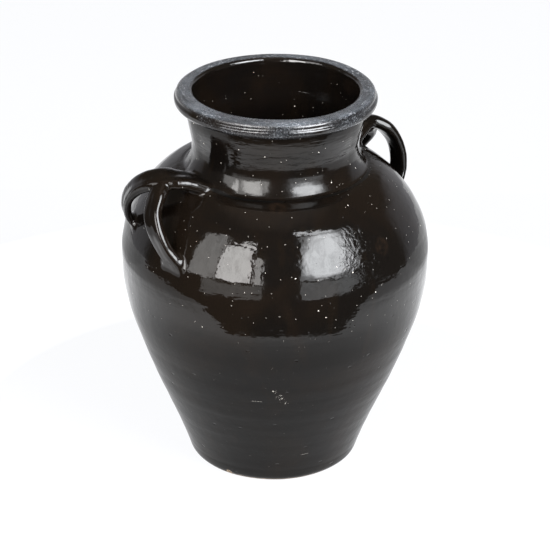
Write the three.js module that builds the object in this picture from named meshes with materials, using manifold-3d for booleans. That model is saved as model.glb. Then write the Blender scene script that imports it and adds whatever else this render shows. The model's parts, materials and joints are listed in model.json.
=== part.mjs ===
// A two-handled black glazed clay pot: a wide shouldered body on a small foot, a short
// neck with a thick rolled lip, and on each side a strap handle that stands on the
// shoulder with two legs. Millimetres, +Z up. The origin is the centre of the underside,
// and the handles are at the -X and +X ends, a little behind the X axis.
import * as THREE from "three";
import Module from "manifold-3d";
import { mergeVertices } from "three/addons/utils/BufferGeometryUtils.js";

// ---- Driving dimensions ----

const GAP = 0.3; // between pieces that touch
const FACETS = 60; // round the pot's axis
const WALL = 7.5; // body wall, measured square to its surface
const NECK_WALL = 6;
const SLAB_TOP = 12; // the base slab's thickness
const GIRTH = 190; // where the lower wall meets the shoulder
const NECK_ROOT = 269; // where the collar sits on the shoulder
const COLLAR_TOP = 324;
const HEIGHT = 340;
const PROFILE_STEP = 11; // largest height step between two rings of a wall

// Height and radius of the outer surface, foot to neck.
const OUTLINE = [
  [0, 70.5],
  [4, 74],
  [10, 76.2],
  [27, 82.3],
  [53, 93.1],
  [83, 106],
  [116, 118.4],
  [150, 129],
  [173, 132.4],
  [193, 133],
  [213, 130.2],
  [233, 121.9],
  [250, 110.5],
  [258, 103.2],
  [264, 96.2],
  [268, 90],
  [271, 83.8],
  [275, 78.6],
  [279.5, 75.2],
  [285, 73.1],
  [292, 72.4],
  [300, 73.3],
  [312, 75.3],
  [318, 76],
  [324, 76.1],
];

// The rolled lip's section as radius and height: inner edge, crest, upper bead, groove,
// lower ridge, underside.
const LIP_SECTION = [
  [69.9, COLLAR_TOP + GAP / 2],
  [69.9, 331],
  [70.6, 335.6],
  [72.6, 338.5],
  [75.8, 339.7],
  [79.2, HEIGHT],
  [82.3, 338.9],
  [84.3, 336.6],
  [84.5, 334.6],
  [86.1, 332.2],
  [85.9, 329.4],
  [84.2, 326.8],
  [80.6, 325.2],
  [76.1, COLLAR_TOP + GAP / 2],
];

// The straps of a handle whose middle lies on the +X axis. Each station is the distance
// from the pot's axis, the angle in degrees round it, the height, the strap's width and its
// thickness. The main strap springs from the neck root, crosses the crown and lands on the
// shoulder at negative angles; the side strap leaves the crown and lands at positive ones.
const MAIN_STRAP = [
  [74, 1, 266, 40, 14],
  [90, 0.5, 275.5, 36, 13],
  [102, -0.5, 279.5, 30, 12],
  [113, -3.5, 279.5, 23, 12.5],
  [123.5, -9.5, 272.5, 19, 11.5],
  [129.5, -14.5, 260, 16, 9],
  [130.5, -18, 247, 14, 8.5],
  [127, -20, 235, 13.5, 8],
  [118, -20.5, 226, 18, 8],
  [108, -20.5, 217, 22, 8],
];
const SIDE_STRAP = [
  [106, -2, 276.5, 13, 11],
  [114, 0.5, 276, 15, 12],
  [122.5, 3, 270.5, 17, 11.5],
  [131, 5.5, 259, 17.5, 10],
  [133.2, 8.5, 247, 17, 10],
  [131.5, 11.5, 234, 17, 10],
  [126, 13.8, 221, 22, 10],
  [116, 15, 206, 30, 10],
];
const CROWN_STATION = 3; // of the main strap, where its leg begins
// Each handle's angle round the pot, how far its two legs stand from its middle as shares of
// the angles above, and how broad the main strap's leg is as a share of the widths above.
// Both handles sit a little behind the X axis.
const HANDLES = [
  { side: "left", turn: 175.25, mainSpread: 1, sideSpread: 1, legBreadth: 1 },
  { side: "right", turn: 4.75, mainSpread: 0.55, sideSpread: 1.4, legBreadth: 1.3 },
];
// The point, in the strap's own upright plane, that its outer face looks away from.
const STRAP_HEART = { radius: 96, height: 246 };
const STRAP_STEPS = 26;
const STRAP_SIDES = 12;
const STRAP_SQUARENESS = 2.6; // 2 is an ellipse, more is squarer

// ---- Curves ----

// A smooth curve through [x, y] rows that never overshoots them.
function smoothCurve(rows) {
  const slopes = rows.slice(1).map(([x, y], i) => (y - rows[i][1]) / (x - rows[i][0]));
  const tangents = rows.map((_, i) => {
    const before = slopes[i - 1] ?? slopes[i];
    const after = slopes[i] ?? slopes[i - 1];
    return before * after > 0 ? (2 * before * after) / (before + after) : 0;
  });
  return (x) => {
    const last = rows.length - 2;
    const found = rows.findIndex(([edge]) => edge > x) - 1;
    const i = found < 0 ? last : Math.min(found, last);
    const span = rows[i + 1][0] - rows[i][0];
    const t = (x - rows[i][0]) / span;
    const rise = rows[i + 1][1] - rows[i][1];
    const ease = t * t * (3 - 2 * t);
    const start = t * (1 - t) * (1 - t) * span * tangents[i];
    const end = t * t * (t - 1) * span * tangents[i + 1];
    return rows[i][1] + rise * ease + start + end;
  };
}

const outerRadius = smoothCurve(OUTLINE);

// A point of the wall at a height, moved square to the outer surface by an offset.
function wallPoint(height, offset) {
  const step = 0.5;
  const slope = (outerRadius(height + step) - outerRadius(height - step)) / (2 * step);
  const length = Math.hypot(1, slope);
  const radius = outerRadius(height) + offset / length;
  return new THREE.Vector2(radius, height - (offset * slope) / length);
}

function heightsBetween(low, high) {
  const count = Math.ceil((high - low) / PROFILE_STEP);
  return Array.from({ length: count + 1 }, (_, i) => low + ((high - low) * i) / count);
}

// ---- Solids ----

const wasm = await Module();
wasm.setup();

function solidOf(geometry) {
  geometry.deleteAttribute("normal");
  geometry.deleteAttribute("uv");
  const merged = mergeVertices(geometry, 1e-3);
  const vertProperties = merged.attributes.position.array;
  const triVerts = new Uint32Array(merged.index.array);
  return new wasm.Manifold(new wasm.Mesh({ numProp: 3, vertProperties, triVerts }));
}

// The largest body of a solid: a trim can leave a crumb of a strap's buried end behind.
function largestBody(solid) {
  return solid.decompose().reduce((best, next) => (next.volume() > best.volume() ? next : best));
}

function geometryOf(solid) {
  const { vertProperties, triVerts } = solid.getMesh();
  const geometry = new THREE.BufferGeometry();
  geometry.setAttribute("position", new THREE.BufferAttribute(vertProperties, 3));
  geometry.setIndex(new THREE.BufferAttribute(triVerts, 1));
  geometry.computeVertexNormals();
  return geometry;
}

// A ring or disc turned about the pot's axis, from points of radius and height that run
// up the outside and back down the inside.
function turned(points) {
  const geometry = new THREE.LatheGeometry(points, FACETS);
  geometry.rotateX(Math.PI / 2); // the lathe turns about Y, the pot about Z
  return geometry;
}

function closed(points) {
  return [...points, points[0].clone()];
}

// One wall of the pot between two heights of its outline.
function wall(low, high, thickness) {
  const heights = heightsBetween(low + GAP / 2, high - GAP / 2);
  const outside = heights.map((height) => wallPoint(height, 0));
  const inside = heights.map((height) => wallPoint(height, -thickness)).reverse();
  return turned(closed([...outside, ...inside]));
}

// Everything inside the outline, a gap larger: what the handles are trimmed with.
function bodyCutter() {
  const heights = [
    ...heightsBetween(SLAB_TOP, GIRTH),
    ...heightsBetween(GIRTH, NECK_ROOT).slice(1),
    ...heightsBetween(NECK_ROOT, COLLAR_TOP).slice(1),
  ];
  const outside = heights.map((height) => wallPoint(height, GAP));
  const bottom = new THREE.Vector2(0, outside[0].y);
  const top = new THREE.Vector2(0, outside.at(-1).y);
  return solidOf(turned([bottom, ...outside, top]));
}

function strapPoint([radius, degrees, height], spread) {
  const angle = THREE.MathUtils.degToRad(degrees * spread);
  return new THREE.Vector3(radius * Math.cos(angle), radius * Math.sin(angle), height);
}

// The direction that a strap's outer face looks in, at a point of its middle line.
function strapOutward(point, tangent) {
  const radius = Math.hypot(point.x, point.y);
  const radial = new THREE.Vector3(point.x / radius, point.y / radius, 0);
  const outward = radial.multiplyScalar(radius - STRAP_HEART.radius);
  outward.z = point.z - STRAP_HEART.height;
  outward.addScaledVector(tangent, -outward.dot(tangent));
  return outward.normalize();
}

// A flattened round section of the given half sizes, as [across, out] pairs.
function strapSection(halfWidth, halfThickness) {
  return Array.from({ length: STRAP_SIDES }, (_, i) => {
    const angle = (2 * Math.PI * (i + 0.5)) / STRAP_SIDES;
    const soften = (value) => Math.sign(value) * Math.abs(value) ** (2 / STRAP_SQUARENESS);
    return [halfWidth * soften(Math.cos(angle)), halfThickness * soften(Math.sin(angle))];
  });
}

// The main strap's stations with its leg broadened.
function mainStations(breadth) {
  return MAIN_STRAP.map(([radius, degrees, height, width, thickness], i) => {
    return [radius, degrees, height, i > CROWN_STATION ? width * breadth : width, thickness];
  });
}

// A strap swept along its stations, with flat ends; grow adds to its half sizes.
function strapSolid(stations, spread, grow = 0) {
  const points = stations.map((station) => strapPoint(station, spread));
  const path = new THREE.CatmullRomCurve3(points);
  const places = stations.map((_, i) => i);
  const widthAt = smoothCurve(places.map((i) => [i, stations[i][3]]));
  const thicknessAt = smoothCurve(places.map((i) => [i, stations[i][4]]));
  const positions = [];
  for (let step = 0; step <= STRAP_STEPS; step++) {
    const share = step / STRAP_STEPS;
    const place = share * (stations.length - 1);
    const centre = path.getPoint(share);
    const tangent = path.getTangent(share);
    const outward = strapOutward(centre, tangent);
    const across = new THREE.Vector3().crossVectors(outward, tangent);
    const half = [widthAt(place) / 2 + grow, thicknessAt(place) / 2 + grow];
    for (const [side, out] of strapSection(...half)) {
      const vertex = centre.clone().addScaledVector(across, side).addScaledVector(outward, out);
      positions.push(vertex.x, vertex.y, vertex.z);
    }
  }
  const faces = [];
  for (let step = 0; step < STRAP_STEPS; step++) {
    for (let side = 0; side < STRAP_SIDES; side++) {
      const next = (side + 1) % STRAP_SIDES;
      const [a, b] = [step * STRAP_SIDES + side, step * STRAP_SIDES + next];
      faces.push(a, b, a + STRAP_SIDES, b, b + STRAP_SIDES, a + STRAP_SIDES);
    }
  }
  const end = STRAP_STEPS * STRAP_SIDES;
  for (let side = 1; side < STRAP_SIDES - 1; side++) {
    faces.push(0, side + 1, side, end, end + side, end + side + 1);
  }
  const geometry = new THREE.BufferGeometry();
  geometry.setAttribute("position", new THREE.Float32BufferAttribute(positions, 3));
  geometry.setIndex(faces);
  return solidOf(geometry);
}

// ---- The pieces ----

const glaze = () => new THREE.MeshStandardMaterial({
  color: 0x1c1917,
  roughness: 0.12,
  metalness: 0,
});

function piece(name, geometry) {
  const mesh = new THREE.Mesh(geometry, glaze());
  mesh.name = name;
  return mesh;
}

function baseSlab() {
  const outside = [0, 2, 4, 7, SLAB_TOP - GAP / 2].map(
    (height) => new THREE.Vector2(outerRadius(height), height),
  );
  const middle = [new THREE.Vector2(0, 0), new THREE.Vector2(0, outside.at(-1).y)];
  return turned([middle[0], ...outside, middle[1]]);
}

function lowerWall() {
  return wall(SLAB_TOP, GIRTH, WALL);
}

function shoulderWall() {
  return wall(GIRTH, NECK_ROOT, WALL);
}

function neckCollar() {
  return wall(NECK_ROOT, COLLAR_TOP, NECK_WALL);
}

function rolledLip() {
  const section = LIP_SECTION.map(([radius, height]) => new THREE.Vector2(radius, height));
  return turned(closed(section.reverse()));
}

const body = bodyCutter();

// A handle's two straps, trimmed to the pot and to each other.
function handle({ side, turn, mainSpread, sideSpread, legBreadth }) {
  const stations = mainStations(legBreadth);
  const mainStrap = strapSolid(stations, mainSpread).subtract(body);
  const mainStrapAndGap = strapSolid(stations, mainSpread, GAP);
  const sideStrap = strapSolid(SIDE_STRAP, sideSpread).subtract(body).subtract(mainStrapAndGap);
  const group = new THREE.Group();
  group.add(piece(`handle_${side}_main_strap`, geometryOf(largestBody(mainStrap))));
  group.add(piece(`handle_${side}_side_strap`, geometryOf(largestBody(sideStrap))));
  group.rotation.z = THREE.MathUtils.degToRad(turn);
  return group;
}

const pot = new THREE.Group();
pot.add(piece("base_slab", baseSlab()));
pot.add(piece("lower_wall", lowerWall()));
pot.add(piece("shoulder_wall", shoulderWall()));
pot.add(piece("neck_collar", neckCollar()));
pot.add(piece("rolled_lip", rolledLip()));
pot.add(...HANDLES.map(handle));

export default pot;
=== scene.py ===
"""The looks of a two-handled black glazed clay pot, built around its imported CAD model.

Lengths in the tables are millimetres, and meshes are made in metres in the row frame.
"""
import json
import math

import bpy
import numpy as np
from mathutils import Matrix, Vector


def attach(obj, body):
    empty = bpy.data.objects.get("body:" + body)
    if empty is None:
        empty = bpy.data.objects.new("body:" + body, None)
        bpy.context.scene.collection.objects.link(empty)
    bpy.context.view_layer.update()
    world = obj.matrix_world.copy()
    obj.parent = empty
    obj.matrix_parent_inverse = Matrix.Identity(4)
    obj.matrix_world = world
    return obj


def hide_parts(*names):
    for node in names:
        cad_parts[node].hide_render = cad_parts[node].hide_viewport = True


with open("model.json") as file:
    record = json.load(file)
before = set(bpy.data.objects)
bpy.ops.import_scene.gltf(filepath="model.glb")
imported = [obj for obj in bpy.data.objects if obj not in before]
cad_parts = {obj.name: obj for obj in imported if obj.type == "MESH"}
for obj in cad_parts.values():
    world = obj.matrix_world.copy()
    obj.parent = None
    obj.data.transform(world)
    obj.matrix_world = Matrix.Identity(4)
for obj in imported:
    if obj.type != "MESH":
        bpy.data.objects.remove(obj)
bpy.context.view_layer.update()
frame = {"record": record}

MM = 0.001
VIEW_TURN = math.radians(-39.25)  # the studio's own front, seen from above

# ---- Camera ----

CAMERA_PLACE = (-1.2336, -1.5106, 1.0989)
CAMERA_TILT = math.radians(64.4014)
CAMERA_ROLL = math.radians(0.486)
CAMERA_LENS = 162.8


def add_camera():
    data = bpy.data.cameras.new("camera")
    data.lens = CAMERA_LENS
    data.sensor_width = 36
    data.clip_start = 0.05
    camera = bpy.data.objects.new("camera", data)
    turn = Matrix.Rotation(VIEW_TURN, 4, "Z")
    tilt = Matrix.Rotation(CAMERA_TILT, 4, "X")
    roll = Matrix.Rotation(CAMERA_ROLL, 4, "Z")
    camera.matrix_world = Matrix.Translation(CAMERA_PLACE) @ turn @ tilt @ roll
    bpy.context.scene.collection.objects.link(camera)
    bpy.context.scene.camera = camera


add_camera()

# ---- The pot's turned shape, as in the CAD model ----

GIRTH = 190.0  # where the lower wall meets the shoulder
SLAB_TOP = 12.0
NECK_ROOT = 269.0
COLLAR_TOP = 324.0
HEIGHT = 340.0
WALL = 7.5
NECK_WALL = 6.0
OUTLINE = [
    (0, 70.5), (4, 74), (10, 76.2), (27, 82.3), (53, 93.1), (83, 106),
    (116, 118.4), (150, 129), (173, 132.4), (193, 133), (213, 130.2), (233, 121.9),
    (250, 110.5), (258, 103.2), (264, 96.2), (268, 90), (271, 83.8), (275, 78.6),
    (279.5, 75.2), (285, 73.1), (292, 72.4), (300, 73.3), (312, 75.3), (318, 76),
    (324, 76.1),
]
LIP_SECTION = [
    (69.9, 324), (69.9, 331), (70, 335.5), (70.6, 338), (72.4, 339.4), (75.8, 339.8),
    (79.2, 339.9), (82.2, 338.8), (84.3, 336.6), (84.5, 334.6), (86.1, 332.2),
    (85.9, 329.4), (84.2, 326.8), (80.6, 325.2), (76.1, 324),
]
COLUMNS = 400  # round the pot
ROW_STEP = 1.6
ROW_CROWDING = 1.5  # how much closer the neck's rows lie at its root
INSET = 0.38  # keeps the uneven surface inside the turned outline
COVE_DEPTH = 5.6  # how far the neck root is cut in, in front and at the back
COVE_FADE = 6.0  # over how much height the cut runs out up the neck


def smooth_curve(rows):
    """A curve through (x, y) rows that never overshoots them."""
    x, y = np.array(rows, float).T
    slope = np.diff(y) / np.diff(x)
    before, after = np.r_[slope[0], slope], np.r_[slope, slope[-1]]
    agree = before * after > 0
    tangent = np.where(agree, 2 * before * after / np.where(agree, before + after, 1), 0)

    def at(q):
        q = np.asarray(q, float)
        i = np.clip(np.searchsorted(x, q, side="right") - 1, 0, len(x) - 2)
        span = x[i + 1] - x[i]
        t = (q - x[i]) / span
        ease = t * t * (3 - 2 * t)
        start = t * (1 - t) ** 2 * span * tangent[i]
        end = t * t * (t - 1) * span * tangent[i + 1]
        return y[i] + (y[i + 1] - y[i]) * ease + start + end

    return at


outline_at = smooth_curve(OUTLINE)


def bump_at(value, centre, width):
    return np.exp(-(((value - centre) / width) ** 2))


def hand_wobble(angle, height):
    """How far the thrown surface stands from the turned outline, never outside it."""
    slow = 0.14 * np.sin(2 * angle + 0.7 + height / 90)
    slow += 0.08 * np.sin(3 * angle - 1.9 - height / 60)
    slow += 0.04 * np.sin(5 * angle + 0.4 + height / 41)
    rings = 0.06 * np.sin(height / 3.9 + 0.9 * np.sin(angle))
    rings += 0.04 * np.sin(height / 2.3 + angle + 1.1 * np.sin(2 * angle))
    rings *= 0.6 + 0.4 * np.sin(height / 31 + 1.3 * np.sin(angle + 0.5))
    lean = 0.6 * bump_at(height, 130, 75) * (np.cos(angle - VIEW_TURN) - 1)
    waist = -0.9 * bump_at(height, 288, 24) * (1 + np.sin(VIEW_TURN - angle))
    joint = -(0.5 + 0.25 * np.sin(3 * angle)) * bump_at(height, NECK_ROOT - 0.8, 1.7)
    foot = -0.2 * bump_at(height, SLAB_TOP + 1.0, 1.6)
    foot -= 0.12 * np.sin(7 * angle) * bump_at(height, 0, 5)
    return slow + rings + lean + waist + joint - cove_cut(angle, height) + foot - INSET


def cove_cut(angle, height):
    """The tighter cove at the neck root, with a ledge under it, but not at the handles."""
    above = height - NECK_ROOT
    depth = np.clip((above + 0.7) / 1.9, 0, 1) * np.exp(-np.maximum(above - 2, 0) / COVE_FADE)
    clear = np.clip((0.97 - np.abs(np.cos(angle))) / 0.07, 0, 1)
    return COVE_DEPTH * depth * clear


def outer_radius(angle, height):
    return outline_at(height) + hand_wobble(angle, height)


def inner_radius(angle, height):
    """The inside of the wall, which thins towards the neck and keeps its finger rings."""
    blend = np.clip((height - NECK_ROOT + 14) / 28, 0, 1)
    wall = WALL + (NECK_WALL - WALL) * blend * blend * (3 - 2 * blend)
    step = 0.5
    slope = (outline_at(height + step) - outline_at(height - step)) / (2 * step)
    finger = 0.22 * np.sin(height / 2.9 + angle + 0.7 * np.sin(2 * angle))
    finger += 0.15 * np.sin(height / 6.3 - angle)
    return outline_at(height) - wall * np.hypot(1, slope) + finger


# ---- Meshes ----

ANGLES = np.arange(COLUMNS) * 2 * math.pi / COLUMNS
SHARP_EDGE = math.radians(55)


def mesh_object(name, points, faces, normals=None, sharp=SHARP_EDGE):
    """A mesh object in metres from points in millimetres, smooth but for sharp corners."""
    mesh = bpy.data.meshes.new(name)
    mesh.from_pydata((np.asarray(points) * MM).tolist(), [], faces)
    mesh.update()
    mesh.shade_smooth()
    if normals is None:
        mesh.set_sharp_from_angle(angle=sharp)
    else:
        mesh.normals_split_custom_set(normals)
    obj = bpy.data.objects.new(name, mesh)
    bpy.context.scene.collection.objects.link(obj)
    return obj


def lathe_grid(heights, radius):
    """Rows of points round the pot and their outward normals, bottom to top."""
    grid_angle, grid_height = np.meshgrid(ANGLES, heights)
    r = radius(grid_angle, grid_height)
    points = np.stack([r * np.cos(grid_angle), r * np.sin(grid_angle), grid_height], -1)
    along = np.gradient(points, axis=0)
    around = np.roll(points, -1, axis=1) - np.roll(points, 1, axis=1)
    normals = np.cross(around, along)
    normals /= np.linalg.norm(normals, axis=-1, keepdims=True)
    return points, normals


def round_quad(below, above, i):
    """Corners of the face at column i between two rows of points round the pot."""
    k = (i + 1) % COLUMNS
    return (below * COLUMNS + i, below * COLUMNS + k, above * COLUMNS + k, above * COLUMNS + i)


def ring_solid(name, outer, outer_normals, inner, inner_normals):
    """A closed ring between two stacks of rows that share their heights."""
    rows = len(outer)
    points = np.concatenate([outer, inner[::-1]]).reshape(-1, 3)
    smooth = np.concatenate([outer_normals, -inner_normals[::-1]])
    faces, normals = [], []
    up, down = (0, 0, 1), (0, 0, -1)
    for j in range(2 * rows):
        below, above = j, (j + 1) % (2 * rows)
        flat = {rows - 1: up, 2 * rows - 1: down}.get(j)
        for i in range(COLUMNS):
            k = (i + 1) % COLUMNS
            faces.append(round_quad(below, above, i))
            if flat:
                normals.extend([flat] * 4)
            else:
                normals.extend([smooth[below, i], smooth[below, k],
                                smooth[above, k], smooth[above, i]])
    return mesh_object(name, points, faces, normals)


def body_pieces():
    """The three walls, cut from one surface so that they meet without a seam."""
    cuts = [SLAB_TOP, GIRTH, NECK_ROOT, COLLAR_TOP]
    heights, starts = [], [0]
    for low, high in zip(cuts, cuts[1:]):
        count = math.ceil((high - low) / ROW_STEP)
        share = np.linspace(0, 1, count + 1) ** (ROW_CROWDING if low == NECK_ROOT else 1)
        heights.extend((low + (high - low) * share)[0 if low == SLAB_TOP else 1:])
        starts.append(len(heights) - 1)
    heights = np.array(heights)
    outer, outer_normals = lathe_grid(heights, outer_radius)
    inner, inner_normals = lathe_grid(heights, inner_radius)
    names = ["lower_wall", "shoulder_wall", "neck_collar"]
    made = {}
    for name, first, last in zip(names, starts, starts[1:]):
        part = slice(first, last + 1)
        made[name] = ring_solid(name + "_glazed", outer[part], outer_normals[part],
                                inner[part], inner_normals[part])
    return made


def revolved(name, section_points, closed):
    """A solid from rows of points; open sections start and end on the axis."""
    rows = len(section_points)
    points = section_points.reshape(-1, 3)
    faces = []
    for j in range(rows if closed else rows - 1):
        faces.extend(round_quad(j, (j + 1) % rows, i) for i in range(COLUMNS))
    if not closed:
        faces.append(tuple(range(COLUMNS))[::-1])
        faces.append(tuple(range((rows - 1) * COLUMNS, rows * COLUMNS)))
    return mesh_object(name, points, faces)


FOOT_WEAR = 0.6  # how far the edge of the foot is rubbed down
UNDERSIDE_RINGS = [0.08, 0.3, 0.55, 0.78, 0.9, 0.96]
FOOT_ROWS = [0, 0.5, 1.1, 2, 3, 4.2, 5.5, 7, 8.5, 10, 11, SLAB_TOP]
POT_FLOOR_RINGS = [1.0, 0.85, 0.6, 0.35, 0.08]


def base_piece():
    """The slab the pot stands on: its underside, worn foot edge and inner floor."""
    rows = []

    def row(radius, height):
        r = np.broadcast_to(radius, ANGLES.shape)
        z = np.broadcast_to(height, ANGLES.shape)
        rows.append(np.stack([r * np.cos(ANGLES), r * np.sin(ANGLES), z], -1))

    foot = outer_radius(ANGLES, 0 * ANGLES)
    for share in UNDERSIDE_RINGS:
        row(foot * share, 0.35 * (1 - share))
    for height in FOOT_ROWS:
        worn = FOOT_WEAR * math.exp(-height / 0.8)
        row(outer_radius(ANGLES, height + 0 * ANGLES) - worn, height)
    inside = inner_radius(ANGLES, SLAB_TOP + 0 * ANGLES)
    for share in POT_FLOOR_RINGS:
        row(inside * share, SLAB_TOP - 0.6 * (1 - share))
    return revolved("base_slab_glazed", np.array(rows), closed=False)


LIP_ROWS = 72


def lip_piece():
    """The rolled lip, with a groove under its bead and a slightly uneven height."""
    section = np.array(LIP_SECTION, float)
    knots = np.r_[0, np.cumsum(np.linalg.norm(np.diff(section, axis=0), axis=1))]
    radius_at = smooth_curve(np.column_stack([knots, section[:, 0]]))
    height_at = smooth_curve(np.column_stack([knots, section[:, 1]]))
    rows = []
    for place in np.linspace(0, knots[-1], LIP_ROWS)[::-1]:
        radius, height = float(radius_at(place)), float(height_at(place))
        rise = (height - COLLAR_TOP) / (HEIGHT - COLLAR_TOP)
        sag = 0.30 * np.sin(2 * ANGLES + 1.1) + 0.16 * np.sin(5 * ANGLES) - 0.46
        swell = 0.20 * np.sin(3 * ANGLES + 0.4) + 0.12 * np.sin(8 * ANGLES + place) - 0.32
        grit = 0.035 * np.sin(61 * ANGLES + 1.7 * place) * np.sin(2.3 * place - 37 * ANGLES)
        r = radius + hand_wobble(ANGLES, COLLAR_TOP + 0 * ANGLES) * (1 - rise) ** 2
        r = r + (swell + grit) * rise
        z = height + sag * rise + grit * rise
        rows.append(np.stack([r * np.cos(ANGLES), r * np.sin(ANGLES), z], -1))
    return revolved("rolled_lip_glazed", np.array(rows), closed=True)


# ---- Handles ----

# Stations along a strap: radius, degrees, height, width, thickness.
MAIN_STRAP = [
    (74, 1, 266, 40, 14), (90, 0.5, 275.5, 36, 13), (102, -0.5, 279.5, 30, 12),
    (113, -3.5, 279.5, 23, 12.5), (123.5, -9.5, 272.5, 19, 11.5),
    (129.5, -14.5, 260, 17, 8.5), (130.5, -18, 247, 16.5, 7.5), (128, -20, 235, 17, 7),
    (121, -20.5, 226, 25, 7), (111, -20.5, 215, 36, 8),
]
SIDE_STRAP = [
    (106, -2, 276.5, 13, 11), (114, 0.5, 276, 15, 12), (122.5, 3, 270.5, 17, 11.5),
    (131, 5.5, 259, 17.5, 10), (133.2, 8.5, 247, 17, 10), (131.5, 11.5, 234, 17, 10),
    (126, 13.8, 221, 22, 10), (116, 15, 206, 30, 10),
]
CROWN_STATION = 3  # of the main strap: its leg starts after it
STRAP_HEART = (96, 246)  # radius and height that the straps' outsides face away from
STRAP_SAMPLES = 321
COARSE = 8  # every so many samples are looked at first
SQUARENESS = 2.6  # 2 is an oval section
STRAP_SHARP_EDGE = math.radians(75)
HANDLES = [
    dict(side="left", turn=175.25, main_spread=1, side_spread=1, leg_breadth=1),
    dict(side="right", turn=4.75, main_spread=0.55, side_spread=1.4, leg_breadth=1.3),
]
VOXEL = 0.62
BLOCK = 4  # grid points along a side of the blocks that are looked at first
FILLET = 4.5  # how far glaze and clay fill the corner between a strap and the body
KNOT = 2.2  # the same where the two straps of a handle meet
DIP = 0.07  # how far a fillet's feather edge sinks below what it runs out on
SKIRT = 1.6  # how deep a piece goes on below the surface it is stuck to
INSIDE_NECK = 62.0  # no part of a handle is nearer the axis


def centripetal(points, count):
    """A centripetal Catmull-Rom curve through points, at count even shares."""
    points = np.asarray(points, float)
    spans = len(points) - 1
    ends = np.vstack([2 * points[0] - points[1], points, 2 * points[-1] - points[-2]])
    made = []
    for share in np.linspace(0, spans, count):
        i = min(int(share), spans - 1)
        w = share - i
        p0, p1, p2, p3 = ends[i:i + 4]
        d0, d1, d2 = (np.linalg.norm(b - a) ** 0.5 for a, b in ((p0, p1), (p1, p2), (p2, p3)))
        t1 = ((p1 - p0) / d0 - (p2 - p0) / (d0 + d1) + (p2 - p1) / d1) * d1
        t2 = ((p2 - p1) / d1 - (p3 - p1) / (d1 + d2) + (p3 - p2) / d2) * d1
        c2 = -3 * p1 + 3 * p2 - 2 * t1 - t2
        c3 = 2 * p1 - 2 * p2 + t1 + t2
        made.append(p1 + t1 * w + c2 * w * w + c3 * w ** 3)
    return np.array(made)


def unit(vectors):
    return vectors / np.linalg.norm(vectors, axis=-1, keepdims=True)


def strap_frames(stations, spread):
    """A strap's middle line with its tangent, outward and across directions and sizes."""
    stations = np.array(stations, float)
    angle = np.radians(stations[:, 1] * spread)
    radius = stations[:, 0]
    points = np.column_stack([radius * np.cos(angle), radius * np.sin(angle), stations[:, 2]])
    centres = centripetal(points, STRAP_SAMPLES)
    tangents = unit(np.gradient(centres, axis=0))
    reach = np.linalg.norm(centres[:, :2], axis=1)
    outward = centres[:, :2] / reach[:, None] * (reach - STRAP_HEART[0])[:, None]
    outward = np.column_stack([outward, centres[:, 2] - STRAP_HEART[1]])
    outward = unit(outward - (outward * tangents).sum(1)[:, None] * tangents)
    place = np.linspace(0, len(stations) - 1, STRAP_SAMPLES)
    index = np.arange(len(stations))
    width = smooth_curve(np.column_stack([index, stations[:, 3]]))(place)
    thickness = smooth_curve(np.column_stack([index, stations[:, 4]]))(place)
    step = np.linalg.norm(np.gradient(centres, axis=0), axis=1)
    across = np.cross(outward, tangents)
    return dict(centres=centres, tangents=tangents, outward=outward, across=across,
                half_width=width / 2, half_thickness=thickness / 2, step=step,
                place=place)


def lerp(table, place):
    """Rows of a table at fractional places."""
    low = np.clip(place.astype(int), 0, len(table) - 2)
    share = place - low
    if table.ndim > 1:
        share = share[:, None]
    return table[low] * (1 - share) + table[low + 1] * share


def strap_distance(points, strap, relief):
    """Signed distance from points to a strap's surface, near enough close to it."""
    coarse = strap["centres"][::COARSE]
    square = (points ** 2).sum(1)[:, None] - 2 * points @ coarse.T + (coarse ** 2).sum(1)
    place = np.argmin(square, axis=1) * float(COARSE)
    last = len(strap["centres"]) - 1
    for _ in range(4):
        offset = points - lerp(strap["centres"], place)
        ahead = (offset * lerp(strap["tangents"], place)).sum(1)
        place = np.clip(place + ahead / lerp(strap["step"], place), 0, last)
    offset = points - lerp(strap["centres"], place)
    across = (offset * lerp(strap["across"], place)).sum(1)
    out = (offset * lerp(strap["outward"], place)).sum(1)
    beyond = (offset * lerp(strap["tangents"], place)).sum(1)
    half_width = lerp(strap["half_width"], place)
    half_thickness = lerp(strap["half_thickness"], place)
    u, v = np.abs(across) / half_width, np.abs(out) / half_thickness
    n = SQUARENESS
    total = (u ** n + v ** n + 1e-9) ** (1 / n)
    slope = np.hypot(u ** (n - 1) / half_width, v ** (n - 1) / half_thickness)
    slope = slope * total ** (1 - n)
    inside = (total - 1) / np.maximum(slope, 0.5 / half_width)
    station = lerp(strap["place"], place)
    inside -= relief(across / half_width, out / half_thickness, station)
    return np.where(np.abs(beyond) > 0.5, np.hypot(np.maximum(inside, 0), beyond), inside)


def blend_min(a, b, reach):
    """The lower of two distances, rounded where they are within reach of each other."""
    near = np.maximum(reach - np.abs(a - b), 0) / reach
    return np.minimum(a, b) - near * near * reach / 4


def lumps(points, size, seed):
    """Smooth hand-made unevenness, from -1 to 1, with bumps about size across."""
    rng = np.random.default_rng(seed)
    total = np.zeros(len(points))
    for _ in range(7):
        direction = rng.normal(size=3)
        direction *= 2 * math.pi / size / np.linalg.norm(direction) * rng.uniform(0.5, 1.1)
        total += np.sin(points @ direction + rng.uniform(0, 6.28))
    return total / 7


def body_distance(points, turn):
    """Signed distance from points, in a handle's own axes, to the pot's outer surface."""
    radius = np.hypot(points[:, 0], points[:, 1])
    angle = np.arctan2(points[:, 1], points[:, 0]) + turn
    height = np.clip(points[:, 2], 0, COLLAR_TOP)
    step = 1.0
    slope = (outline_at(height + step) - outline_at(height - step)) / (2 * step)
    return (radius - outer_radius(angle, height)) / np.hypot(1, slope)


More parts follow.
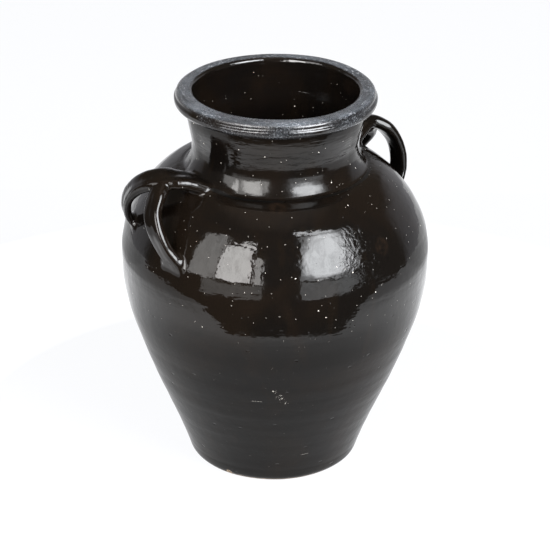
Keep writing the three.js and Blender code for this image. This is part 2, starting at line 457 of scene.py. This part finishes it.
def surface_net(field, low, high, step):
    """The zero surface of a field as quads with one point in each crossed cell."""
    counts = np.ceil((high - low) / step).astype(int) + 1
    axes = [low[a] + step * np.arange(counts[a]) for a in range(3)]
    grid = np.stack(np.meshgrid(*axes, indexing="ij"), -1).reshape(-1, 3)
    blocks = np.ceil(counts / BLOCK).astype(int)
    middles = [low[a] + step * (BLOCK * np.arange(blocks[a]) + (BLOCK - 1) / 2)
               for a in range(3)]
    middle = np.stack(np.meshgrid(*middles, indexing="ij"), -1).reshape(-1, 3)
    values = field(middle).reshape(blocks)
    for axis in range(3):
        values = values.repeat(BLOCK, axis)
    values = values[:counts[0], :counts[1], :counts[2]].ravel().copy()
    near = np.flatnonzero(np.abs(values) < 1.5 * BLOCK * step)
    for part in np.array_split(near, 12):
        values[part] = field(grid[part])
    values = values.reshape(counts)
    cells = counts - 1
    total, hits = np.zeros((*cells, 3)), np.zeros(cells)
    corner = np.stack(np.meshgrid(*[np.arange(c) for c in cells], indexing="ij"), -1)
    offsets = [(0, 0), (0, 1), (1, 0), (1, 1)]
    for axis in range(3):
        others = [a for a in range(3) if a != axis]
        for pair in offsets:
            at = [0, 0, 0]
            at[others[0]], at[others[1]] = pair
            start = tuple(slice(at[a], at[a] + cells[a]) for a in range(3))
            at[axis] = 1
            stop = tuple(slice(at[a], at[a] + cells[a]) for a in range(3))
            a, b = values[start], values[stop]
            crossed = (a < 0) != (b < 0)
            share = np.where(crossed, a / np.where(crossed, a - b, 1), 0)
            spot = np.zeros((*cells, 3))
            spot[..., others[0]], spot[..., others[1]] = pair
            spot[..., axis] = share
            total += np.where(crossed[..., None], spot, 0)
            hits += crossed
    used = hits > 0
    number = np.full(tuple(cells), -1)
    number[used] = np.arange(used.sum())
    points = low + step * (corner[used] + total[used] / hits[used][:, None])
    quads = []
    for axis in range(3):
        b, c = (axis + 1) % 3, (axis + 2) % 3
        size = list(cells)
        size[b] -= 1
        size[c] -= 1
        edge = [slice(0, size[a]) for a in range(3)]
        edge[b] = slice(1, size[b] + 1)
        edge[c] = slice(1, size[c] + 1)
        ahead = list(edge)
        ahead[axis] = slice(1, size[axis] + 1)
        first, second = values[tuple(edge)] < 0, values[tuple(ahead)] < 0
        around = []
        for db, dc in ((0, 0), (1, 0), (1, 1), (0, 1)):
            part = [slice(0, size[a]) for a in range(3)]
            part[b] = slice(db, db + size[b])
            part[c] = slice(dc, dc + size[c])
            around.append(number[tuple(part)])
        around = np.stack(around, -1)
        quads.append(around[first & ~second])
        quads.append(around[~first & second][:, ::-1])
    return points, np.concatenate(quads)


def settle(points, field, reach):
    """Moves points onto the field's zero surface."""
    small = 0.05
    for _ in range(3):
        value = field(points)
        slope = np.stack([(field(points + small * np.eye(3)[a]) - value) / small
                          for a in range(3)], -1)
        size = np.maximum((slope ** 2).sum(1), 0.25)
        move = -value[:, None] * slope / size[:, None]
        length = np.linalg.norm(move, axis=1, keepdims=True)
        points = points + move * np.minimum(1, reach / np.maximum(length, 1e-9))
    return points


def main_relief(u, v, station):
    """A rolled edge along each side of the leg and a shallow hollow between them."""
    leg = np.clip((station - 4.0) / 1.2, 0, 1)
    face = np.clip(v * 1.6, 0, 1)
    edge = 0.75 * bump_at(u, 0.88, 0.10) + 0.45 * bump_at(u, -0.86, 0.13)
    edge += 0.30 * bump_at(u, 0.55, 0.10) - 0.45 * bump_at(u, 0.73, 0.07)
    hollow = 1.1 * bump_at(u, -0.15, 0.36)
    arm = 0.8 * bump_at(u, 0.15, 0.40) * (1 - leg) - 0.5 * bump_at(u, 0.85, 0.12) * (1 - leg)
    return face * (leg * (edge - hollow) - arm)


def side_relief(u, v, station):
    """A softly hollowed leg with a lip along its outer edge."""
    leg = np.clip((station - 1.6) / 1.2, 0, 1)
    face = np.clip(v * 1.6, 0, 1)
    edge = 0.45 * bump_at(u, 0.82, 0.16) + 0.35 * bump_at(u, -0.80, 0.18)
    hollow = 0.5 * bump_at(u, -0.1, 0.45)
    return face * leg * (edge - hollow)


def handle_pieces(side, turn, main_spread, side_spread, leg_breadth):
    """A handle's two straps, each one closed mesh that runs out smoothly on the body."""
    turn = math.radians(turn)
    stations = [(r, a, z, w * (leg_breadth if i > CROWN_STATION else 1), t)
                for i, (r, a, z, w, t) in enumerate(MAIN_STRAP)]
    main = strap_frames(stations, main_spread)
    other = strap_frames(SIDE_STRAP, side_spread)
    seed = len(side)

    def uneven(points):
        return 0.30 * lumps(points, 15, seed) + 0.10 * lumps(points, 5, seed + 1) - 0.05

    def main_field(points):
        strap = strap_distance(points, main, main_relief) - uneven(points)
        body = body_distance(points, turn)
        fused = blend_min(strap, body, FILLET) + DIP
        return np.maximum(np.maximum(fused, -(body + SKIRT)), strap - FILLET)

    def side_field(points):
        strap = strap_distance(points, other, side_relief) - uneven(points)
        bigger = strap_distance(points, main, main_relief) - uneven(points)
        body = body_distance(points, turn)
        fused = blend_min(blend_min(strap, bigger, KNOT), body, FILLET) + DIP
        under = -np.minimum(body, bigger) - SKIRT
        return np.maximum(np.maximum(fused, under), strap - FILLET)

    made = {}
    spin = np.array(Matrix.Rotation(turn, 3, "Z"))
    for part, strap, field in (("main", main, main_field), ("side", other, side_field)):
        half = strap["half_width"].max() + FILLET + 3
        low = strap["centres"].min(0) - half
        high = strap["centres"].max(0) + half
        low[0] = max(low[0], INSIDE_NECK)
        points, quads = surface_net(field, low, high, VOXEL)
        points = settle(points, field, VOXEL / 3) @ spin.T
        node = f"handle_{side}_{part}_strap"
        made[node] = mesh_object(node + "_glazed", points, quads.tolist(),
                                 sharp=STRAP_SHARP_EDGE)
    return made


# ---- Materials ----

class Nodes:
    """Builds a material's node tree in few words."""

    def __init__(self, name):
        self.material = bpy.data.materials.new(name)
        self.material.use_nodes = True
        self.tree = self.material.node_tree
        self.tree.nodes.clear()
        self.place = self.add("ShaderNodeTexCoord").outputs["Object"]

    def add(self, kind, inputs=(), **settings):
        made = self.tree.nodes.new(kind)
        for key, value in settings.items():
            setattr(made, key, value)
        for key, value in dict(inputs).items():
            if isinstance(value, bpy.types.NodeSocket):
                self.tree.links.new(value, made.inputs[key])
            else:
                made.inputs[key].default_value = value
        return made

    def math(self, operation, a, b=0.0):
        return self.add("ShaderNodeMath", {0: a, 1: b}, operation=operation).outputs[0]

    def apart(self, a, b):
        """How far two numbers are from each other."""
        return self.math("ABSOLUTE", self.math("SUBTRACT", a, b))

    def stretched(self, scale):
        return self.add("ShaderNodeVectorMath", {0: self.place, 1: scale},
                        operation="MULTIPLY").outputs[0]

    def noise(self, scale, detail=2.0, roughness=0.5, stretch=None, warp=0.0):
        place = self.stretched(stretch) if stretch else self.place
        made = self.add("ShaderNodeTexNoise", {
            "Vector": place, "Scale": scale, "Detail": detail, "Roughness": roughness,
            "Distortion": warp})
        return made.outputs["Fac"]

    def between(self, value, low, high, to_low=0.0, to_high=1.0):
        return self.add("ShaderNodeMapRange", {
            "Value": value, "From Min": low, "From Max": high, "To Min": to_low,
            "To Max": to_high}, interpolation_type="SMOOTHSTEP").outputs[0]

    def dots(self, scale, radius, share, stretch=(1, 1, 1)):
        """1 in the middle of scattered dots; share of the cells hold one."""
        cells = self.add("ShaderNodeTexVoronoi", {
            "Vector": self.stretched(stretch), "Scale": scale, "Randomness": 1.0})
        near = self.between(cells.outputs["Distance"], radius * scale, 0.3 * radius * scale)
        pick = self.add("ShaderNodeSeparateColor", {0: cells.outputs["Color"]}).outputs[0]
        return self.math("MULTIPLY", near, self.math("LESS_THAN", pick, share))

    def spot(self, point, inner, outer):
        """1 within inner of a point in millimetres, falling to 0 at outer."""
        away = self.add("ShaderNodeVectorMath", {0: self.place, 1: [c * MM for c in point]},
                        operation="DISTANCE").outputs["Value"]
        return self.between(away, outer * MM, inner * MM)

    def mix(self, share, a, b):
        return self.add("ShaderNodeMix", {"Factor": share, 6: a, 7: b},
                        data_type="RGBA").outputs[2]

    def total(self, values):
        made = values[0]
        for value in values[1:]:
            made = self.math("ADD", made, value)
        return made

    def scaled(self, value, share):
        return self.math("MULTIPLY", value, share)

    def bump(self, height):
        """The normal of a surface raised by a height in metres."""
        return self.add("ShaderNodeBump", {
            "Strength": 1.0, "Distance": 1.0, "Height": height}).outputs[0]

    def finish(self, shader):
        """Puts a shader node on the material's output and returns the material."""
        output = self.add("ShaderNodeOutputMaterial")
        self.tree.links.new(shader.outputs[0], output.inputs["Surface"])
        return self.material


def colour(r, g, b):
    return (r, g, b, 1.0)


BLACK_GLAZE = colour(0.0026, 0.0021, 0.0018)
BROWN_GLAZE = colour(0.0046, 0.0031, 0.0021)
RUST_GLAZE = colour(0.0075, 0.0048, 0.0033)
BARE_CLAY = colour(0.36, 0.27, 0.19)
# A pale colour for the glaze's own spots and scratches, and also for painted glints.
PALE_SPECK_AND_GLINT = colour(0.55, 0.52, 0.47)
SEAM = colour(0.0006, 0.0005, 0.0004)
# Painted sheen: the blue-grey of the lip's dry top stands in for its satin sheen, and the pale
# flecks after it are painted glints.
DRY_GLAZE_AND_SHEEN = colour(0.046, 0.053, 0.063)
PAINTED_GLINT_FLECK = colour(0.27, 0.28, 0.30)
CLAY_DARK = colour(0.20, 0.135, 0.085)
CLAY_LIGHT = colour(0.32, 0.235, 0.16)
CLAY_GRIT = colour(0.09, 0.06, 0.04)
GLAZE_IOR, LIP_IOR = 1.36, 1.5
SEAM_RADIUS, SEAM_HEIGHT = 0.0805, 0.2698  # the dark ring where the neck is set on
HANDLES_FROM = 0.094  # nothing but the turned neck is nearer the axis in the cove


def around(azimuth, height):
    """A point on the outer surface, by angle in degrees and height."""
    angle = math.radians(azimuth)
    radius = float(outer_radius(np.array(angle), np.array(float(height))))
    return (radius * math.cos(angle), radius * math.sin(angle), height)


def glaze(name, roughness=0.055, grain_and_sheen=0.0, speck_and_glint_share=0.22, ior=GLAZE_IOR, marks=()):
    """Black-brown glaze with orange peel, throwing lines, runs, pinholes and pale dots,
    which are partly the glaze's own pale spots and partly painted glints.

    grain_and_sheen adds the sandy roughness of a thin, dry glaze on the lip's top, and a
    painted sheen there: a blue-grey colour with pale painted glints. marks are
    (point, radius, kind)."""
    n = Nodes(name)
    cloud = n.between(n.noise(13, 3, 0.55, warp=0.6), 0.42, 0.66)
    base = n.mix(cloud, BLACK_GLAZE, BROWN_GLAZE)
    streaks = n.between(n.noise(1, 3, 0.6, stretch=(52, 52, 9)), 0.55, 0.72, 0.0, 0.7)
    base = n.mix(streaks, base, BROWN_GLAZE)
    rust = n.between(n.noise(17, 2, 0.5, warp=1.0), 0.60, 0.80, 0.0, 0.5)
    base = n.mix(rust, base, RUST_GLAZE)
    split = n.add("ShaderNodeSeparateXYZ", {0: n.place})
    high = split.outputs["Z"]
    flat = n.add("ShaderNodeVectorMath", {0: n.place, 1: (1, 1, 0)}, operation="MULTIPLY")
    reach = n.add("ShaderNodeVectorMath", {0: flat.outputs[0]}, operation="LENGTH")
    reach = reach.outputs["Value"]
    low = n.between(high, 0.185, 0.150)
    # Pale dots, partly the glaze's own pale spots and partly painted glints.
    speck_and_glint = n.math("MAXIMUM", n.dots(150, 0.0007, 0.6 * speck_and_glint_share),
                   n.scaled(n.dots(260, 0.00055, speck_and_glint_share), 0.4))
    speck_and_glint = n.math("MULTIPLY", speck_and_glint, n.between(low, 0.0, 1.0, 1.0, 0.06))
    base = n.mix(speck_and_glint, base, PALE_SPECK_AND_GLINT)

    rough = n.between(n.noise(70, 3, 0.6), 0.3, 0.75, roughness * 0.7, roughness * 1.7)
    rough = n.total([rough, n.scaled(speck_and_glint, 0.4)])

    neck = n.between(high, 0.284, 0.292)
    ripple = n.noise(1, 3, 0.6, stretch=(34, 34, 260), warp=0.4)
    turned = n.between(reach, HANDLES_FROM, HANDLES_FROM - 0.003)
    cove = n.math("MULTIPLY", n.between(high, 0.268, 0.272), n.between(high, 0.292, 0.284))
    cove = n.math("MULTIPLY", cove, turned)
    wavy = n.math("ADD", high, n.between(n.noise(9, 2), 0.3, 0.7, -0.0008, 0.0008))
    seam = n.between(n.apart(reach, SEAM_RADIUS), 0.0022, 0.0010)
    seam = n.math("MULTIPLY", seam, n.between(n.apart(wavy, SEAM_HEIGHT), 0.0035, 0.0025))
    seam = n.math("MULTIPLY", seam, n.between(n.noise(15, 2), 0.35, 0.6, 0.15, 0.9))
    seam = n.math("MULTIPLY", seam, turned)
    base = n.mix(seam, base, SEAM)
    rough = n.total([rough, n.scaled(seam, 0.35)])
    rough = n.total([rough, n.scaled(cove, 0.09)])
    swirl = n.spot(around(-92, 232), 16, 34)
    pits = n.dots(185, 0.0006, 0.16)
    craters = n.dots(48, 0.0012, 0.10)
    dents = n.math("MULTIPLY", n.dots(60, 0.0026, 0.5, (1, 1, 1.9)), low)
    heights = [
        n.scaled(n.noise(95, 2, 0.5), 0.00022),
        n.scaled(n.noise(330, 2, 0.5), 0.000035),
        n.scaled(n.noise(1, 2, 0.5, stretch=(14, 14, 150), warp=0.3), 0.00016),
        n.scaled(n.noise(1, 2, 0.5, stretch=(120, 120, 14), warp=0.5), 0.00007),
        n.scaled(n.math("MULTIPLY", neck, ripple), 0.00030),
        n.scaled(n.math("MULTIPLY", swirl, n.noise(170, 3, 0.6, warp=1.2)), 0.00045),
        n.scaled(pits, -0.00022),
        n.scaled(craters, -0.0004),
        n.scaled(dents, -0.00035),
    ]
    if grain_and_sheen:
        top = n.math("MULTIPLY", n.between(high, 0.3360, 0.3384),
                     n.between(reach, 0.0712, 0.0735))
        patch = n.between(n.noise(23, 3, 0.6), 0.35, 0.62, 0.0, 0.3)
        patch = n.math("MULTIPLY", patch, n.between(reach, 0.0745, 0.0765))
        dry_top_and_sheen = n.math("MAXIMUM", n.scaled(top, grain_and_sheen), patch)
        sand = n.noise(620, 3, 0.75, warp=0.3)
        sandy = n.between(sand, 0.35, 0.65, 0.30, 0.10)
        rough = n.total([rough, n.math("MULTIPLY", dry_top_and_sheen, sandy)])
        heights.append(n.scaled(n.math("MULTIPLY", dry_top_and_sheen, n.noise(520, 3, 0.75)), 0.00060))
        # Painted sheen: the dry top and the patches by the bead are coloured blue-grey, with
        # pale flecks as painted glints.
        cloudy = n.between(n.noise(31, 3, 0.6), 0.38, 0.62, 0.45, 1.0)
        base = n.mix(n.math("MULTIPLY", dry_top_and_sheen, cloudy), base, DRY_GLAZE_AND_SHEEN)
        painted_glint = n.math("MULTIPLY", n.between(sand, 0.53, 0.62), cloudy)
        base = n.mix(n.math("MULTIPLY", dry_top_and_sheen, painted_glint), base, PAINTED_GLINT_FLECK)
    for point, radius, kind in marks:
        mark = n.spot(point, radius * 0.55, radius)
        if kind == "chip":
            ragged = n.between(n.noise(700, 3, 0.7), 0.35, 0.55)
            mark = n.math("MULTIPLY", mark, ragged)
            base = n.mix(mark, base, BARE_CLAY)
            rough = n.math("MAXIMUM", rough, n.scaled(mark, 0.8))
            heights.append(n.scaled(mark, -0.0005))
        elif kind == "scratch":
            ragged = n.between(n.noise(620, 3, 0.7), 0.57, 0.66, 0.0, 0.7)
            mark = n.math("MULTIPLY", mark, ragged)
            base = n.mix(mark, base, PALE_SPECK_AND_GLINT)
            rough = n.math("MAXIMUM", rough, n.scaled(mark, 0.6))
        elif kind == "line":
            across = n.apart(high, point[2] * MM)
            mark = n.math("MULTIPLY", mark, n.between(across, 0.0006, 0.0001, 0.0, 0.15))
            base = n.mix(mark, base, PALE_SPECK_AND_GLINT)
            heights.append(n.scaled(mark, 0.0006))
        elif kind == "rust":
            ragged = n.between(n.noise(150, 3, 0.6), 0.35, 0.60)
            base = n.mix(n.math("MULTIPLY", mark, ragged), base, RUST_GLAZE)
        else:  # a pit
            base = n.mix(mark, base, BLACK_GLAZE)
            heights.append(n.scaled(mark, -0.0009))

    shader = n.add("ShaderNodeBsdfPrincipled", {
        "Base Color": base, "Roughness": rough, "IOR": ior,
        "Normal": n.bump(n.total(heights))})
    return n.finish(shader)


def bare_clay():
    """The gritty, unglazed clay of the underside."""
    n = Nodes("bare_clay")
    cloud = n.noise(40, 4, 0.6)
    base = n.mix(n.between(cloud, 0.35, 0.65), CLAY_DARK, CLAY_LIGHT)
    base = n.mix(n.dots(260, 0.0007, 0.3), base, CLAY_GRIT)
    rough = n.between(n.noise(300, 2), 0.3, 0.7, 0.75, 0.95)
    height = n.total([n.scaled(n.noise(420, 4, 0.7), 0.0004), n.scaled(cloud, 0.0005)])
    shader = n.add("ShaderNodeBsdfPrincipled", {
        "Base Color": base, "Roughness": rough, "Normal": n.bump(height)})
    return n.finish(shader)


# ---- The object ----

body_glaze = glaze("body_glaze", marks=[
    (around(-129.0, 111), 3.0, "scratch"),
    (around(-126.4, 104), 4.6, "scratch"),
    (around(-123.5, 98), 2.4, "scratch"),
    (around(-136.5, 99.5), 5.5, "line"),
    (around(-110.0, 31), 4.0, "line"),
    (around(-66.0, 141), 2.2, "pit"),
    (around(-82.7, 232), 9.0, "rust"),
    (around(-128.0, 268), 9.0, "rust"),
])
lip_glaze = glaze("lip_glaze", roughness=0.07, grain_and_sheen=1.0, speck_and_glint_share=0.10, ior=LIP_IOR)
handle_glaze = glaze("handle_glaze", roughness=0.05, speck_and_glint_share=0.05)
foot_glaze = glaze("foot_glaze", roughness=0.09, speck_and_glint_share=0.12, marks=[
    (around(-160.6, 3.0), 4.0, "chip"),
    (around(-152.0, 1.5), 3.0, "chip"),
    (around(-135.0, 1.0), 2.5, "chip"),
    (around(40.0, 2.0), 5.0, "chip"),
])
clay = bare_clay()

pieces = body_pieces()
pieces["base_slab"] = base_piece()
pieces["rolled_lip"] = lip_piece()
for handle in HANDLES:
    pieces.update(handle_pieces(**handle))

slots = {s["node"]: s["material_slot"] for s in frame["record"]["subparts"]}
looks = {
    "foot_glaze": foot_glaze,
    "body_glaze": body_glaze,
    "lip_glaze": lip_glaze,
    "handle_glaze": handle_glaze,
}
for node, piece in pieces.items():
    piece.data.materials.append(looks[slots[node]])
    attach(piece, "root")
    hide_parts(node)

# The slab's faces that look down are bare clay.
base_mesh = pieces["base_slab"].data
base_mesh.materials.append(clay)
for face in base_mesh.polygons:
    if face.normal.z < -0.7:
        face.material_index = 1

# ---- Studio ----

SHOULDER = Vector((0, 0, 0.22))  # the windows stand round this point
WINDOW_FAR = 2.0


def toward(azimuth, elevation):
    """A direction by its angles in degrees, from the studio's own front."""
    a, e = math.radians(azimuth) + VIEW_TURN, math.radians(elevation)
    return Vector((math.cos(a) * math.cos(e), math.sin(a) * math.cos(e), math.sin(e)))


def studio(obj, camera=True):
    """Puts an object in the studio. With camera False it shows only in reflections."""
    bpy.context.scene.collection.objects.link(obj)
    obj.visible_camera = camera
    return obj


def window(name, corners, strength, tint, core=0.0):
    """A softbox seen in the glaze. Its corners are (azimuth, elevation) from the studio's
    front. core darkens it away from its middle."""
    mesh = bpy.data.meshes.new(name)
    points = [SHOULDER + WINDOW_FAR * toward(*corner) for corner in corners]
    mesh.from_pydata([tuple(p) for p in points], [], [(0, 1, 2, 3)])
    layer = mesh.uv_layers.new(name="UVMap")
    for loop, uv in zip(layer.data, [(0, 0), (1, 0), (1, 1), (0, 1)]):
        loop.uv = uv
    n = Nodes(name)
    n.place = n.add("ShaderNodeTexCoord").outputs["UV"]
    cloud = n.noise(5, 3, 0.6, stretch=(2.2, 0.7, 1), warp=0.8)
    bright = n.between(cloud, 0.3, 0.62, 0.72, 1.0)
    if core:
        away = n.add("ShaderNodeVectorMath", {0: n.place, 1: (0.5, 0.52, 0)},
                     operation="DISTANCE").outputs["Value"]
        bright = n.math("MULTIPLY", bright, n.between(away, 0.56, 0.30, 1 - core, 1.0))
    light = n.add("ShaderNodeEmission", {
        "Color": (*tint, 1), "Strength": n.scaled(bright, strength)})
    mesh.materials.append(n.finish(light))
    return studio(bpy.data.objects.new(name, mesh), camera=False)


WARM, COOL = (1.0, 0.985, 0.965), (0.95, 0.975, 1.0)
window("window_left", [(-133, 9), (-108, 7), (-109, 44), (-133, 40)], 19, WARM)
window("window_left_edge", [(-106, 6), (-99, 6), (-100, 34), (-106, 36)], 10, WARM)
window("window_left_dim", [(-155, 6), (-134, 6), (-134, 44), (-155, 38)], 6, WARM)
window("window_left_low", [(-142, -9), (-99, -6), (-99, 4), (-142, 5)], 2.4, WARM)
window("window_right", [(-73, 12), (-34, 8), (-18, 42), (-64, 50)], 27, COOL, core=0.8)
window("window_right_top", [(-66, 52), (-26, 44), (-32, 50), (-66, 58)], 18, COOL)
window("window_right_low", [(-73, -8), (-28, -8), (-30, 6), (-72, 10)], 3.2, COOL)


# Round the sheet, in the studio's own axes: its left side, front edge and right side.
SHEET_EDGE = [
    (-1.0, 1.8), (-1.0, -0.2), (-0.51, -0.33), (-0.37, -0.32), (-0.28, -0.343),
    (-0.18, -0.32), (-0.08, -0.335), (0.04, -0.331), (0.10, -0.331), (0.17, -0.303),
    (0.23, -0.265), (0.32, -0.267), (0.43, -0.246), (1.0, -0.25), (1.0, 1.8),
]
SHEET_WHITE = 0.93  # as the camera sees it


def floor_sheet():
    """A pale sheet under the pot. It is white for the camera, and in reflections it glows:
    dim near the pot, which is a painted shadow of the pot, bright a little way off and dimmer
    again beyond, with a painted shade in a band behind the pot."""
    turn = Matrix.Rotation(VIEW_TURN, 4, "Z")
    mesh = bpy.data.meshes.new("floor")
    mesh.from_pydata([tuple(turn @ Vector((x, y, 0))) for x, y in SHEET_EDGE], [],
                     [tuple(range(len(SHEET_EDGE)))[::-1]])
    n = Nodes("floor")
    away = n.add("ShaderNodeVectorMath", {0: n.place}, operation="LENGTH").outputs["Value"]
    # Painted shadow: the glow is lowest near the pot, standing in for the pot's shadow on the
    # sheet.
    glow = n.math("MULTIPLY", n.between(away, 0.20, 0.42, 0.60, 1.8),
                  n.between(away, 0.42, 0.56, 1.0, 0.52))
    behind = n.add("ShaderNodeVectorMath", {0: n.place, 1: toward(90, 0)},
                   operation="DOT_PRODUCT").outputs["Value"]
    shade = n.math("MAXIMUM", n.between(behind, 0.25, 0.33, 1.0, 0.75),
                   n.between(behind, 0.44, 0.56))
    glow = n.math("MULTIPLY", glow, shade)
    seen = n.add("ShaderNodeLightPath").outputs["Is Camera Ray"]
    glow = n.math("MAXIMUM", n.scaled(seen, SHEET_WHITE), glow)
    shader = n.add("ShaderNodeBsdfPrincipled", {
        "Base Color": (0.06, 0.06, 0.06, 1), "Emission Color": (0.97, 0.98, 1.0, 1),
        "Emission Strength": glow, "Roughness": 0.9, "Specular IOR Level": 0.2})
    mesh.materials.append(n.finish(shader))
    return studio(bpy.data.objects.new("floor", mesh))


floor_sheet()


ROOM = (0.14, 0.12, 0.10, 1)
BACK_WALL = (0.58, 0.58, 0.61, 1)
GROUND = (1.9, 1.9, 1.9, 1)
CEILING = (0.50, 0.42, 0.36, 1)
WHITE = (1, 1, 1, 1)


def add_world():
    """White for the camera; for the glaze, a dark room in front, a pale wall behind, a
    bright ground far below the sheet's edge and a dim ceiling."""
    world = bpy.data.worlds.new("world")
    bpy.context.scene.world = world
    world.use_nodes = True
    tree = world.node_tree
    tree.nodes.clear()

    def add(kind, inputs=(), **settings):
        made = tree.nodes.new(kind)
        for key, value in settings.items():
            setattr(made, key, value)
        for key, value in dict(inputs).items():
            if isinstance(value, bpy.types.NodeSocket):
                tree.links.new(value, made.inputs[key])
            else:
                made.inputs[key].default_value = value
        return made

    def ramp(value, low, high):
        return add("ShaderNodeMapRange", {"Value": value, "From Min": low, "From Max": high},
                   interpolation_type="SMOOTHSTEP").outputs[0]

    def mix(share, a, b):
        return add("ShaderNodeMix", {0: share, 6: a, 7: b}, data_type="RGBA").outputs[2]

    ray = add("ShaderNodeTexCoord").outputs["Generated"]
    facing = add("ShaderNodeVectorMath", {0: ray, 1: toward(92, 0)}, operation="DOT_PRODUCT")
    rise = add("ShaderNodeSeparateXYZ", {0: ray}).outputs["Z"]
    wall = add("ShaderNodeMath", {0: ramp(facing.outputs["Value"], 0.25, 0.45),
                                  1: ramp(rise, 0.48, 0.22)}, operation="MULTIPLY")
    shown = mix(wall.outputs[0], ROOM, BACK_WALL)
    shown = mix(ramp(rise, -0.575, -0.615), shown, GROUND)
    shown = mix(ramp(rise, 0.86, 0.98), shown, CEILING)
    camera_ray = add("ShaderNodeLightPath").outputs["Is Camera Ray"]
    shown = mix(camera_ray, shown, WHITE)
    background = add("ShaderNodeBackground", {"Color": shown})
    add("ShaderNodeOutputWorld", {"Surface": background.outputs[0]})


add_world()
bpy.context.scene.view_settings.view_transform = "Standard"
